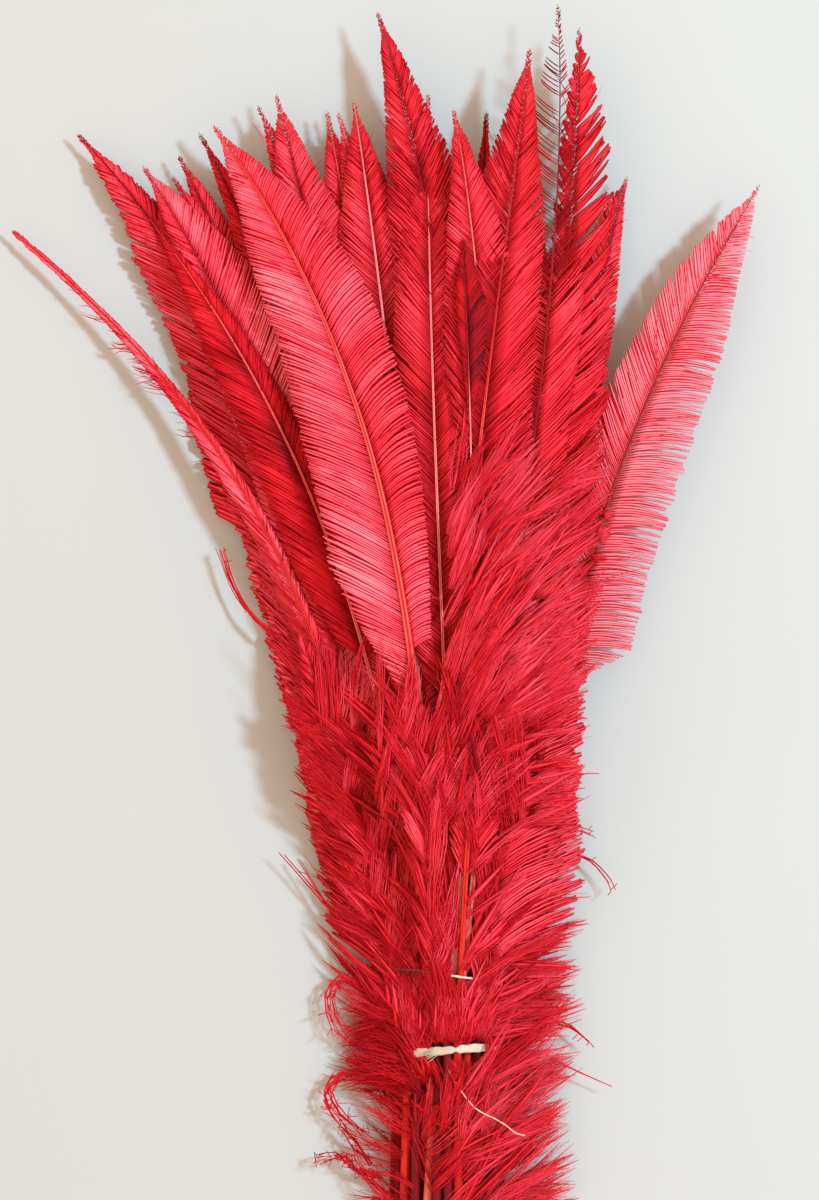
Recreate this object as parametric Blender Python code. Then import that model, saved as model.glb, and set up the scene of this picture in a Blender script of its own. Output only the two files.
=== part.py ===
"""A bunch of dyed ostrich plumes, tied with cotton and lying on a flat surface.

The quills run along Y through a flat cotton tie at the origin, and the plumes fan out towards +Y.
Z is up and the bunch rests on the plane z = 0. Each plume is one solid: a round quill that turns
into a thin flat vane. The plumes are laid down one at a time, from the lowest row to the top of
the bunch, and each rests on those below it.
"""

import math
import random
from dataclasses import dataclass

import bmesh
import bpy
import numpy as np

# Quills and vanes, in metres.
QUILL_RADIUS = 0.0024  # at the tie
BUTT_RADIUS = 0.0027  # at the cut end
TIP_RADIUS = 0.0004
SHAFT_THINNING = 0.9  # the power by which the shaft thins towards its tip
SHAFT_FLATNESS = 0.68  # height over width where the vane grows; the quill is round
VANE_HALF_THICKNESS = 0.0003  # beside the shaft; the vane's outer edge is sharp
LOW_HALF_WIDTH = 0.004  # where the vane of a plume with no low down begins
TIP_HALF_WIDTH = 0.001
LONGEST_STRETCH = 0.1  # a longer stretch of growing vane gets a section at its middle
GAP = 0.0004  # between neighbours, which touch in the real bunch

# The tied end.
QUILL_PITCH = 0.0054  # from one quill to the next in a row
BUTT_END = -0.114
BUTT_SCATTER = 0.006
BUTT_SPLAY = 1.3  # how fast the quills part below the tie, per metre
TIE_HEIGHT = 0.005  # along the quills
TIE_WALL = 0.0012
THREAD_Y = 0.042
THREAD_HEIGHT = 0.0012
THREAD_WALL = 0.0009
TIE_SIDES = 28

# Down that begins below the tie. The tie and the thread press it to the shaft between them.
DOWN_START = -0.093
DOWN_FULL = -0.072
DOWN_LOW_SHARE = 0.85  # of its width, there
DOWN_BELOW_TIE = -0.012
PRESSED_FROM = -0.006
PRESSED_TO = 0.048
DOWN_ABOVE_THREAD = 0.057
BARE = 0.0  # no down on that side of the shaft

# The vane's outline between the place where it is full and its tip.
TAPER = ((0.42, 0.97), (0.72, 0.78), (0.91, 0.42))

# The grid on which the plumes are laid.
STEP = 0.003
COLUMN = 0.0005
EDGE_BEVEL = 0.001  # a vane takes its whole thickness as far as this from its edge
GRID_HALF_WIDTH = 0.30
GRID_START = -0.126
GRID_END = 0.60
ON_GRID = 1e-6  # how near a plane counts as at a section
SETTLING_ROUNDS = 12

# The loose end of the cotton tie lies over the quills below it.
TAIL_RADIUS = 0.0004
TAIL_ROUTE = (
    (0.0005, -0.0075, 0.0371),
    (0.0040, -0.0135, 0.0368),
    (0.0085, -0.0205, 0.0364),
    (0.0135, -0.0270, 0.0353),
    (0.0195, -0.0315, 0.0348),
    (0.0260, -0.0345, 0.0345),
    (0.0325, -0.0385, 0.0343),
    (0.0375, -0.0425, 0.0342),
    (0.0430, -0.0440, 0.0342),
)
TAIL_STEPS = 4  # to each stretch of the route

BRIGHT = (0.72, 0.012, 0.014)
PINKISH = (0.70, 0.045, 0.075)
DEEP = (0.48, 0.004, 0.006)
CREAM = (0.80, 0.72, 0.58)
DYED_THREAD = (0.42, 0.05, 0.06)
FEATHER_ROUGHNESS = 0.6
COTTON_ROUGHNESS = 0.9


@dataclass
class Plume:
    """One feather. lean is dx/dy at the tie and at the tip; widths are from the shaft outwards."""

    name: str
    tip: tuple
    lean: tuple = (0.0, 0.0)
    left: float = 0.034
    right: float = 0.034
    vane_from: float = 0.129
    full_at: float = 0.300
    lift: float = 0.016  # least height of the tip
    down: tuple = None  # half-widths of the down round the tie
    colour: tuple = BRIGHT
    root: float = 0.0


def under_row(row, count, down):
    """A row of plumes that lie under the others, fanned evenly and kept short of the tips above."""
    scatter = random.Random(41 + row)
    plumes = []
    for place in range(count):
        across = place / (count - 1)
        tip_x = -0.150 + 0.222 * across + scatter.uniform(-0.005, 0.005)
        tip_y = 0.455 + 0.035 * math.sin(math.pi * across) + scatter.uniform(-0.018, 0.012)
        plume = Plume(
            f"feather_under_{'ab'[row]}{place + 1}",
            (tip_x, tip_y),
            lean=(-0.30 + 0.50 * across, -0.46 + 0.60 * across),
            left=0.030,
            right=0.030,
            lift=0.0,
            colour=(PINKISH, BRIGHT, DEEP)[place % 3],
        )
        if place == 0:
            plume.down = (down, BARE)
        if place == count - 1:
            plume.down = (BARE, down * 1.25)
        plumes.append(plume)
    return plumes


ROWS = (
    under_row(0, 11, 0.032),
    under_row(1, 10, 0.033),
    (
        Plume("feather_left_broad", (-0.207, 0.513), (-0.34, -0.95), 0.038, 0.026,
              lift=0.010, colour=PINKISH, down=(0.034, BARE), full_at=0.24),
        Plume("feather_left_tall", (-0.150, 0.501), (-0.22, -0.50), 0.018, 0.024, lift=0.012),
        Plume("feather_left_dark", (-0.139, 0.514), (-0.16, -0.55), 0.016, 0.016, colour=DEEP),
        Plume("feather_mid_left_low", (-0.067, 0.524), (-0.10, -0.20), 0.024, 0.024,
              colour=PINKISH),
        Plume("feather_mid_left_pink", (-0.061, 0.525), (-0.05, -0.30), 0.024, 0.024,
              colour=PINKISH),
        Plume("feather_mid_left_sparse", (-0.106, 0.529), (-0.06, -0.45), 0.024, 0.024,
              lift=0.018),
        Plume("feather_mid_right_dark", (0.022, 0.525), (0.09, 0.05), 0.012, 0.012,
              colour=DEEP),
        Plume("feather_right_short", (0.101, 0.490), (0.17, 0.30), 0.028, 0.016,
              lift=0.014),
        Plume("feather_far_right", (0.174, 0.482), (0.18, 0.65), 0.028, 0.038,
              full_at=0.255, lift=0.028, colour=PINKISH, down=(BARE, 0.044)),
    ),
    (
        Plume("feather_left_second", (-0.154, 0.490), (-0.26, -0.60), 0.020, 0.022,
              lift=0.012, down=(0.036, BARE)),
        Plume("feather_left_pink", (-0.170, 0.495), (-0.20, -0.65), 0.022, 0.036,
              lift=0.014, colour=PINKISH),
        Plume("feather_mid_left_tall", (-0.095, 0.533), (-0.08, -0.25), 0.028, 0.028,
              lift=0.020),
        Plume("feather_mid_pale_shaft", (-0.052, 0.530), (-0.03, -0.15), 0.026, 0.026,
              lift=0.020, colour=PINKISH),
        Plume("feather_centre_tallest", (-0.039, 0.579), (0.02, -0.32), 0.026, 0.028,
              lift=0.027),
        Plume("feather_centre_pale_shaft", (-0.011, 0.534), (-0.02, 0.0), 0.024, 0.022,
              full_at=0.24, lift=0.024),
        Plume("feather_right_hairy", (0.061, 0.582), (0.02, -0.05), 0.030, 0.022,
              lift=0.034, colour=DEEP),
        Plume("feather_right_frayed", (0.073, 0.569), (0.12, 0.03), 0.028, 0.034,
              full_at=0.20, lift=0.030, colour=DEEP),
        Plume("feather_right_lower", (0.064, 0.330), (0.18, 0.16), 0.022, 0.038,
              vane_from=0.060, full_at=0.160, lift=0.034, down=(BARE, 0.048)),
    ),
    (
        Plume("feather_far_left_sickle", (-0.244, 0.458), (-0.28, -1.26), 0.012, 0.005,
              full_at=0.20, lift=0.010, colour=PINKISH, down=(0.034, BARE)),
        Plume("feather_left_lower", (-0.082, 0.236), (-0.16, -0.34), 0.028, 0.018,
              vane_from=0.075, full_at=0.14, lift=0.030, colour=PINKISH),
        Plume("feather_left_front", (-0.166, 0.464), (-0.14, -0.78), 0.026, 0.020,
              full_at=0.25, lift=0.016),
        Plume("feather_centre_matt", (0.008, 0.454), (0.10, -0.06), 0.005, 0.019,
              full_at=0.36, lift=0.040, colour=DEEP),
        Plume("feather_mid_right_pink", (0.003, 0.526), (0.10, -0.18), 0.022, 0.026,
              lift=0.030, colour=PINKISH),
        Plume("feather_right_tall", (0.046, 0.559), (-0.12, 0.12), 0.030, 0.026,
              full_at=0.26, lift=0.030, colour=PINKISH),
        Plume("feather_right_low_front", (0.044, 0.300), (0.10, 0.14), 0.020, 0.040,
              vane_from=0.050, full_at=0.120, lift=0.038, down=(BARE, 0.056)),
    ),
    (
        Plume("feather_front_left", (-0.130, 0.516), (-0.06, -0.71), 0.037, 0.038,
              vane_from=0.150, full_at=0.240, lift=0.026),
        Plume("feather_centre_low_left", (-0.022, 0.212), (-0.06, -0.12), 0.024, 0.018,
              vane_from=0.075, full_at=0.13, lift=0.036),
        Plume("feather_centre_low_right", (0.020, 0.262), (0.03, 0.06), 0.016, 0.028,
              vane_from=0.060, full_at=0.13, lift=0.040, down=(BARE, 0.050)),
    ),
)


def snapped(y):
    return round(y / STEP) * STEP


def shaft_x(plume, y):
    """The shaft's place across the bunch: a curve between the leans at its two ends."""
    if y < 0:
        return plume.root * (1 - BUTT_SPLAY * y)
    length = plume.tip[1]
    t = min(y / length, 1.0)
    start = (2 * t**3 - 3 * t**2 + 1) * plume.root + (t**3 - 2 * t**2 + t) * length * plume.lean[0]
    end = (3 * t**2 - 2 * t**3) * plume.tip[0] + (t**3 - t**2) * length * plume.lean[1]
    return start + end


def shaft_radius(plume, y):
    if y < 0:
        return QUILL_RADIUS + (BUTT_RADIUS - QUILL_RADIUS) * y / BUTT_END
    thin = (y / plume.tip[1]) ** SHAFT_THINNING
    return QUILL_RADIUS + (TIP_RADIUS - QUILL_RADIUS) * thin


def stations(plume, butt):
    """Where the plume's cross-sections lie: rows of y, width to the left and width to the right."""
    tip_y = plume.tip[1]
    rows = [(butt, 0.0, 0.0)]
    if plume.down:
        left, right = plume.down
        rows += [
            (DOWN_START, 0.0, 0.0),
            (DOWN_FULL, left * DOWN_LOW_SHARE, right * DOWN_LOW_SHARE),
            (DOWN_BELOW_TIE, left, right),
            (PRESSED_FROM, 0.0, 0.0),
            (PRESSED_TO, 0.0, 0.0),
            (DOWN_ABOVE_THREAD, left, right),
        ]
        low, low_left, low_right = DOWN_ABOVE_THREAD, left, right
    else:
        rows += [(0.0, 0.0, 0.0), (plume.vane_from, 0.0, 0.0)]
        low, low_left, low_right = plume.vane_from, LOW_HALF_WIDTH, LOW_HALF_WIDTH
    if plume.full_at - low > LONGEST_STRETCH:
        middle = (low + plume.full_at) / 2
        rows.append((middle, (low_left + plume.left) / 2, (low_right + plume.right) / 2))
    rows.append((plume.full_at, plume.left, plume.right))
    for along, share in TAPER:
        y = plume.full_at + (tip_y - plume.full_at) * along
        rows.append((y, plume.left * share, plume.right * share))
    rows.append((tip_y, TIP_HALF_WIDTH, TIP_HALF_WIDTH))
    return np.array([(snapped(y), left, right) for y, left, right in rows])


class Section:
    """A plume's cross-sections: columns of numbers, one for each of its stations."""

    def __init__(self, plume, butt):
        table = stations(plume, butt)
        self.y = table[:, 0]
        self.x = np.array([shaft_x(plume, y) for y in self.y])
        radius = np.array([shaft_radius(plume, y) for y in self.y])
        bare = table[:, 1:].max(1) == 0
        self.left, self.right = np.maximum(table[:, 1:], radius[:, None]).T
        self.shoulder = radius * math.sqrt(0.5)
        self.crown = np.where(bare, radius, radius * SHAFT_FLATNESS)
        self.web = np.where(bare, self.shoulder, np.minimum(VANE_HALF_THICKNESS, self.crown))
        self.z = np.zeros_like(self.y)

    def at(self, planes):
        """Centre, left, right, shoulder, web, crown and height at these planes of y."""
        columns = (self.x, self.left, self.right, self.shoulder, self.web, self.crown, self.z)
        return [np.interp(planes, self.y, column) for column in columns]

    def ring(self, i):
        """The section's eight corners as x and z."""
        x, z, crown = self.x[i], self.z[i], self.crown[i]
        side, web = self.shoulder[i], self.web[i]
        return (
            (x - self.left[i], z),
            (x - side, z - web),
            (x, z - crown),
            (x + side, z - web),
            (x + self.right[i], z),
            (x + side, z + web),
            (x, z + crown),
            (x - side, z + web),
        )


class Pile:
    """The height of the bunch so far, on planes of y and columns of x."""

    def __init__(self):
        self.planes = np.arange(round(GRID_START / STEP), round(GRID_END / STEP)) * STEP
        self.columns = np.arange(-GRID_HALF_WIDTH, GRID_HALF_WIDTH, COLUMN)
        self.top = np.full((len(self.planes), len(self.columns)), -GAP)
        for y, wall in ((0.0, TIE_WALL), (THREAD_Y, THREAD_WALL)):
            self.top[between(self.planes, y - STEP, y + STEP)] = wall

    def lay(self, section, lift):
        """Finds the lowest heights at which a springy shaft rests on the pile, and adds it."""
        inside = between(self.planes, section.y[0], section.y[-1])
        planes, top = self.planes[inside], self.top[inside]
        x, left, right, side, web, crown, _ = section.at(planes)
        across = self.columns[None, :] - x[:, None]
        half = half_thickness(across, left, right, side, web, crown)
        covered = half >= 0
        need = np.where(covered, top + half + GAP, -1.0).max(1)
        need[-1] = max(need[-1], lift)
        above = planes > -ON_GRID
        resting = need.copy()
        for side in (above, ~above):  # the tie presses the quills down between the two
            resting[side] = bridged(planes[side], need[side])
        heights = np.interp(section.y, planes, resting)
        section.z = raised(section.y, heights, planes, need)
        height = np.interp(planes, section.y, section.z)[:, None]
        self.top[inside] = np.where(covered, np.maximum(top, height + half), top)


def between(planes, low, high):
    return (planes > low - ON_GRID) & (planes < high + ON_GRID)


def half_thickness(across, left, right, side, web, crown):
    """Half the room that a section takes at each distance from its shaft, or -1 outside it."""
    left, right, side, web, crown = (v[:, None] for v in (left, right, side, web, crown))
    reach = np.where(across < 0, left, right)
    away = np.maximum(np.abs(across) - COLUMN / 2, 0)
    ridge = crown + (web - crown) * away / side
    blade = web * np.clip((reach - away) / np.minimum(reach - side, EDGE_BEVEL), 0.0, 1.0)
    return np.where(away <= reach, np.where(away < side, ridge, blade), -1.0)


def bridged(y, z):
    """The lowest curve over these heights that nowhere sags."""
    kept = []
    for point in zip(y, z):
        while len(kept) > 1:
            (y0, z0), (y1, z1) = kept[-2:]
            if (z1 - z0) * (point[0] - y0) > (point[1] - z0) * (y1 - y0):
                break
            kept.pop()
        kept.append(point)
    return np.interp(y, *zip(*kept))


def raised(y, z, planes, need):
    """z with each stretch lifted by as little as clears what is needed between its ends."""
    z = z.copy()
    for _ in range(SETTLING_ROUNDS):
        for i in range(len(y) - 1):
            within = between(planes, y[i], y[i + 1])
            along = (planes[within] - y[i]) / (y[i + 1] - y[i])
            short = need[within] - (1 - along) * z[i] - along * z[i + 1]
            worst = int(short.argmax())
            t, lift = along[worst], short[worst]
            if lift > 0:
                share = lift / ((1 - t) ** 2 + t**2)
                z[i] += share * (1 - t)
                z[i + 1] += share * t
    return z


def material(name, colour, roughness=FEATHER_ROUGHNESS):
    made = bpy.data.materials.get(name) or bpy.data.materials.new(name)
    made.use_nodes = True
    shader = made.node_tree.nodes["Principled BSDF"]
    shader.inputs["Base Color"].default_value = (*colour, 1)
    shader.inputs["Roughness"].default_value = roughness
    shader.inputs["Metallic"].default_value = 0.0
    return made


def plume_object(plume, section, collection):
    """Lofts the sections into one closed solid."""
    bm = bmesh.new()
    rings = [
        [bm.verts.new((x, y, z)) for x, z in section.ring(i)] for i, y in enumerate(section.y)
    ]
    for low, high in zip(rings, rings[1:]):
        for i in range(len(low)):
            j = (i + 1) % len(low)
            bm.faces.new((low[i], low[j], high[j], high[i]))
    bm.faces.new(rings[0][::-1])
    bm.faces.new(rings[-1])
    bmesh.ops.triangulate(bm, faces=bm.faces[:])
    bmesh.ops.recalc_face_normals(bm, faces=bm.faces[:])
    mesh = bpy.data.meshes.new(plume.name)
    bm.to_mesh(mesh)
    bm.free()
    tone = {BRIGHT: "feather_bright", PINKISH: "feather_pinkish", DEEP: "feather_deep"}
    mesh.materials.append(material(tone[plume.colour], plume.colour))
    thing = bpy.data.objects.new(plume.name, mesh)
    collection.objects.link(thing)
    return thing


def outline_round(sections, y, clearance, underside):
    """The outline that wraps all the sections at y, this far from them, with a flat underside."""
    points = []
    for section in sections:
        for plane in (y - STEP, y, y + STEP):
            x, left, right, side, web, crown, z = (v[0] for v in section.at([plane]))
            points += [(x - left, z), (x + right, z), (x, z + crown), (x, z - crown)]
            points += [(x + sx * side, z + sz * web) for sx in (-1, 1) for sz in (-1, 1)]
    points = np.array(points)
    angles = -math.pi / 2 + np.arange(TIE_SIDES) * 2 * math.pi / TIE_SIDES
    normals = np.stack([np.cos(angles), np.sin(angles)], 1)
    reach = (points @ normals.T).max(0) + clearance
    reach[0] = -underside
    corners = []
    for i in range(TIE_SIDES):
        j = (i + 1) % TIE_SIDES
        corners.append(np.linalg.solve(normals[[i, j]], reach[[i, j]]))
    return corners


def tie_object(name, sections, y, wall, height, made_of, collection):
    """A closed band round the bunch, flat underneath, with its wall as thick as the twine."""
    curve = bpy.data.curves.new(name, "CURVE")
    curve.dimensions = "2D"
    curve.fill_mode = "BOTH"
    curve.extrude = height / 2
    for clearance, underside in ((GAP + wall, 0.0), (GAP, wall)):
        corners = outline_round(sections, y, clearance, underside)
        spline = curve.splines.new("POLY")
        spline.points.add(len(corners) - 1)
        for point, (x, z) in zip(spline.points, corners):
            point.co = (x, z, 0, 1)
        spline.use_cyclic_u = True
    curve.materials.append(made_of)
    thing = bpy.data.objects.new(name, curve)
    thing.location = (0, y, 0)
    thing.rotation_euler = (math.pi / 2, 0, 0)
    collection.objects.link(thing)
    return thing


def smooth_route(points, steps):
    """A Catmull-Rom curve through the points."""
    ends = [2 * points[0] - points[1], *points, 2 * points[-1] - points[-2]]
    route = []
    for a, b, c, d in zip(ends, ends[1:], ends[2:], ends[3:]):
        for t in np.arange(steps) / steps:
            bend = (2 * a - 5 * b + 4 * c - d) * t**2 + (3 * b - a - 3 * c + d) * t**3
            route.append(b + 0.5 * ((c - a) * t + bend))
    return [*route, points[-1]]


def tail_object(made_of, collection):
    """The loose end of the cotton tie."""
    curve = bpy.data.curves.new("thread_tail", "CURVE")
    curve.dimensions = "3D"
    curve.bevel_depth = TAIL_RADIUS
    curve.bevel_resolution = 2
    curve.use_fill_caps = True
    route = smooth_route([np.array(point) for point in TAIL_ROUTE], TAIL_STEPS)
    spline = curve.splines.new("POLY")
    spline.points.add(len(route) - 1)
    for point, place in zip(spline.points, route):
        point.co = (*place, 1)
    curve.materials.append(made_of)
    thing = bpy.data.objects.new("thread_tail", curve)
    collection.objects.link(thing)
    return thing


def laying_order(row):
    """From the outside of a row to its middle, so that the bunch is crowned."""
    middle = (len(row) - 1) / 2
    return sorted(range(len(row)), key=lambda place: -abs(place - middle))


def build():
    for thing in list(bpy.data.objects):
        bpy.data.objects.remove(thing)
    bunch = bpy.data.collections.new("feather_bunch")
    bpy.context.scene.collection.children.link(bunch)
    scatter = random.Random(7)
    pile = Pile()
    sections = []
    for row in ROWS:
        for place in laying_order(row):
            plume = row[place]
            plume.root = (place - (len(row) - 1) / 2) * QUILL_PITCH
            section = Section(plume, BUTT_END + scatter.uniform(-BUTT_SCATTER, BUTT_SCATTER))
            pile.lay(section, plume.lift)
            plume_object(plume, section, bunch)
            sections.append(section)
    cotton = material("cotton_twine", CREAM, COTTON_ROUGHNESS)
    dyed = material("binding_thread", DYED_THREAD, COTTON_ROUGHNESS)
    tie_object("tie_band", sections, 0.0, TIE_WALL, TIE_HEIGHT, cotton, bunch)
    tie_object("upper_thread", sections, THREAD_Y, THREAD_WALL, THREAD_HEIGHT, dyed, bunch)
    tail_object(cotton, bunch)


build()
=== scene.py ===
"""A tied bunch of long ostrich plumes, dyed red, lying on a pale surface.

Each plume is rebuilt round the line of its plain solid: a grooved shaft, two vanes of separate
barbs that are trimmed to its outline, and looser strands and down lower on the quill.
"""

import math
from dataclasses import dataclass

import bpy
import numpy as np
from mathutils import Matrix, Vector


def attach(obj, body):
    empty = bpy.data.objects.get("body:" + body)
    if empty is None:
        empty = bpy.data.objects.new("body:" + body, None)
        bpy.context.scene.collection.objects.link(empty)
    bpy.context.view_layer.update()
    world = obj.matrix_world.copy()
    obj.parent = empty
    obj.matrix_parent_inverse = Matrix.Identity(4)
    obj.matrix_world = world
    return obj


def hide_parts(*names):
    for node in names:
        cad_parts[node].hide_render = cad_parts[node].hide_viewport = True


UP = np.array([0.0, 0.0, 1.0])

# The view: straight down on the bunch.
VIEW_CENTRE = (-0.021, 0.252)
VIEW_TALL = 0.672
VIEW_FROM = 2.6

# The studio.
KEY_PLACE, KEY_SIZE, KEY_POWER = (2.1, 1.05, 2.8), 0.38, 112
KEY_COLOUR = (0.54, 0.89, 1.10)
SKY_COLOUR, SKY_STRENGTH = (1.0, 0.77, 0.58, 1), 1.08
FLOOR_REACH, FLOOR_HEIGHT = 12.0, -2e-4
FLOOR_GREYS = (0.545, 0.56)

# Shafts.
SHAFT_FLATNESS = 0.68
SHAFT_SIDES = 12
LINE_STEP = 0.001
SHAFT_POINT = (0.03, 0.6)  # the shaft thins over this length to this share
SHAFT_RING, HIDDEN_RING = 0.006, 0.012  # between the shaft's rings
BORE, BORE_DEPTH = 0.62, 0.004  # of the cut quill
TIP_SLOPE = 0.30  # half-width over distance at a vane's very tip

# The tie's loose end.
TAIL_RADIUS = 0.0004
TAIL_ROUTE = (
    (0.0005, -0.0075, 0.0371),
    (0.0040, -0.0135, 0.0368),
    (0.0085, -0.0205, 0.0364),
    (0.0135, -0.0270, 0.0353),
    (0.0195, -0.0315, 0.0348),
    (0.0260, -0.0345, 0.0345),
    (0.0325, -0.0385, 0.0343),
    (0.0375, -0.0425, 0.0342),
    (0.0430, -0.0440, 0.0342),
)
TAIL_STEPS = 4

# Dyes are places on a scale from 0, maroon, to 1, pale pink.
BRIGHT = 0.52
TUFT_DYE_MOST = 0.46  # the most that a plume's own dye gives its tufts
TUFT_DYE_SHIFT = {-1: -0.02, 1: 0.14}  # by side of the bunch
TUFT_DYE_END = 0.68
HIDDEN_DYES = (0.60, 0.48, 0.38)
HIDDEN_SHAFT_DYES = (0.55, 0.35, 0.15)

HAIR_BREADTH = (0.00035, 0.0008)  # of wisps and of the strands in a tuft
LOWEST = 0.0006  # no fibre lies nearer the surface than this
CUT_SHORT_BELOW = 0.30  # below this place the barbs keep to the bunch's edges
TUFTS_CUT_SHORT_BELOW = 0.32
HAIRY_TIP = 0.1  # a vane with more bare tip than this ends in separate hairs
TIP_LENGTH = 0.034  # over which barbs shorten and thin to the tip
VANES_COUNT_FROM = 0.13  # above this place loose strands lie over the vanes too

# The map that a plume's colours are laid out on: the shaft's strip, then rows of fibres.
STRIP_LOW, STRIP_TALL = 0.005, 0.12
FIBRES_LOW, MAP_ROWS = 0.14, 4
CELL_WIDE, CELL_TALL = 0.92, 0.94  # of each fibre's share
CELL_CAP = 0.03  # at each end of a cell, for the fibre's end caps

# How far the strands reach to either side of the bunch, at these places along it.
LEFT_EDGE = (
    (-0.100, -0.050), (-0.056, -0.060), (0.000, -0.064), (0.028, -0.058), (0.052, -0.062),
    (0.084, -0.067), (0.134, -0.076), (0.188, -0.087), (0.250, -0.103), (0.300, -0.121),
)
RIGHT_EDGE = (
    (-0.100, 0.060), (-0.056, 0.074), (-0.030, 0.067), (0.000, 0.074), (0.036, 0.075),
    (0.066, 0.069), (0.106, 0.078), (0.134, 0.073), (0.215, 0.077), (0.300, 0.088),
)


# ---------------------------------------------------------------- materials


class Value:
    """A number that varies over a surface. Sums made with it add Math nodes."""

    def __init__(self, finish, socket):
        self.finish, self.socket = finish, socket

    def _made(self, operation, *terms):
        node = self.finish.add(
            "ShaderNodeMath", {"operation": operation}, dict(enumerate(terms))
        )
        return Value(self.finish, node.outputs[0])

    def __add__(self, other):
        return self._made("ADD", self, other)

    def __sub__(self, other):
        return self._made("SUBTRACT", self, other)

    def __rsub__(self, other):
        return self._made("SUBTRACT", other, self)

    def __mul__(self, other):
        return self._made("MULTIPLY", self, other)

    def __pow__(self, other):
        return self._made("POWER", self, other)

    __radd__ = __add__
    __rmul__ = __mul__


class Finish:
    """A material and its nodes."""

    def __init__(self, name, constants):
        self.material = bpy.data.materials.new(name)
        self.material.use_nodes = True
        self.tree = self.material.node_tree
        self.shader = self.tree.nodes["Principled BSDF"]
        for socket, value in constants.items():
            self.shader.inputs[socket].default_value = value

    def add(self, kind, settings=None, inputs=None):
        """A node, with its settings made first and then its sockets filled or linked."""
        node = self.tree.nodes.new(kind)
        for name, value in (settings or {}).items():
            if name == "stops":
                ramp = node.color_ramp
                while len(ramp.elements) < len(value):
                    ramp.elements.new(1.0)
                for element, (place, colour) in zip(ramp.elements, value):
                    element.position, element.color = place, (*colour, 1)
            else:
                setattr(node, name, value)
        for name, value in (inputs or {}).items():
            self.feed(node.inputs[name], value)
        return node

    def feed(self, socket, value):
        if isinstance(value, Value):
            value = value.socket
        if isinstance(value, bpy.types.NodeSocket):
            self.tree.links.new(value, socket)
        else:
            socket.default_value = value

    def attribute(self, name):
        node = self.add("ShaderNodeAttribute", {"attribute_name": name})
        return Value(self, node.outputs["Fac"])

    def noise(self, scale, detail=2.0, stretch=(1, 1, 1), over="Object"):
        place = self.add("ShaderNodeTexCoord").outputs[over]
        place = self.add(
            "ShaderNodeVectorMath", {"operation": "MULTIPLY"}, {0: place, 1: stretch}
        ).outputs[0]
        node = self.add(
            "ShaderNodeTexNoise", None, {"Vector": place, "Scale": scale, "Detail": detail}
        )
        return Value(self, node.outputs["Fac"])

    def ramp(self, value, stops):
        return self.add("ShaderNodeValToRGB", {"stops": stops}, {"Fac": value}).outputs["Color"]

    def mixed(self, share, first, second):
        colours = {"data_type": "RGBA", "clamp_result": True}
        return self.add("ShaderNodeMix", colours, {0: share, 6: first, 7: second}).outputs[2]

    def bump(self, height, strength, distance):
        node = self.add(
            "ShaderNodeBump", None,
            {"Height": height, "Strength": strength, "Distance": distance},
        )
        self.feed(self.shader.inputs["Normal"], node.outputs[0])

    def shade(self, socket, value):
        self.feed(self.shader.inputs[socket], value)


DYE = (
    (0.00, (0.100, 0.0020, 0.0080)),
    (0.15, (0.300, 0.0030, 0.0090)),
    (0.30, (0.580, 0.0040, 0.0085)),
    (0.45, (0.740, 0.0100, 0.0190)),
    (0.60, (0.890, 0.0320, 0.0560)),
    (0.75, (0.940, 0.0800, 0.1280)),
    (0.88, (0.960, 0.1700, 0.2300)),
    (1.00, (0.970, 0.3000, 0.3600)),
)
SHAFT_DYE = (
    (0.00, (0.060, 0.0020, 0.0060)),
    (0.20, (0.230, 0.0030, 0.0070)),
    (0.45, (0.620, 0.0110, 0.0090)),
    (0.65, (0.850, 0.0330, 0.0170)),
    (0.85, (0.900, 0.1400, 0.1350)),
    (1.00, (0.940, 0.3800, 0.3700)),
)
CLEAN_COTTON, DIRTY_COTTON = (0.80, 0.69, 0.55, 1), (0.48, 0.34, 0.25, 1)
THREAD_STAIN = ((0.0, (0.05, 0.004, 0.008)), (1.0, (0.86, 0.70, 0.60)))


def barb_finish():
    """Dyed barbs: a paler rib along the middle, partly the rib's own colour and partly a painted
    highlight on the ridge, darker beside it as partly painted shade between the barbs, uneven dye
    along the length.
    """
    finish = Finish("dyed_barbs", {"Specular IOR Level": 0.10})
    rib = finish.attribute("rib")
    dye = finish.attribute("dye")
    cloudy = finish.noise(30.0, 3.0) - 0.5
    fine = finish.noise(700.0, 1.0) - 0.5
    hairs = finish.noise(1.0, 1.0, (4200.0, 26.0, 1.0), "UV") - 0.5
    # The paler rib is partly a painted highlight, and the darker edges beside it are partly painted
    # shade between the barbs.
    tone = dye + (rib**3.0) * 0.46 - 0.14 + cloudy * 0.30 + fine * 0.08 + hairs * 0.44
    finish.shade("Base Color", finish.ramp(tone, DYE))
    finish.shade("Roughness", 0.62 - rib * 0.16)
    finish.bump(finish.noise(2600.0, 1.0), 0.35, 0.0002)
    return finish.material


def shaft_finish():
    """The shaft: horny and satin. Its dye attribute also carries painted shade in the groove and
    along the underside, and painted highlights on the groove's two ridges.
    """
    finish = Finish("dyed_shaft", {"Specular IOR Level": 0.15})
    dye = finish.attribute("dye")
    along = finish.noise(60.0, 3.0, (1, 0.12, 1)) - 0.5
    lines = finish.noise(700.0, 2.0, (1, 0.02, 1)) - 0.5
    finish.shade("Base Color", finish.ramp(dye + along * 0.20 + lines * 0.16, SHAFT_DYE))
    finish.shade("Roughness", 0.40 + lines * 0.25)
    finish.bump(lines, 0.4, 0.0003)
    return finish.material


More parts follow.
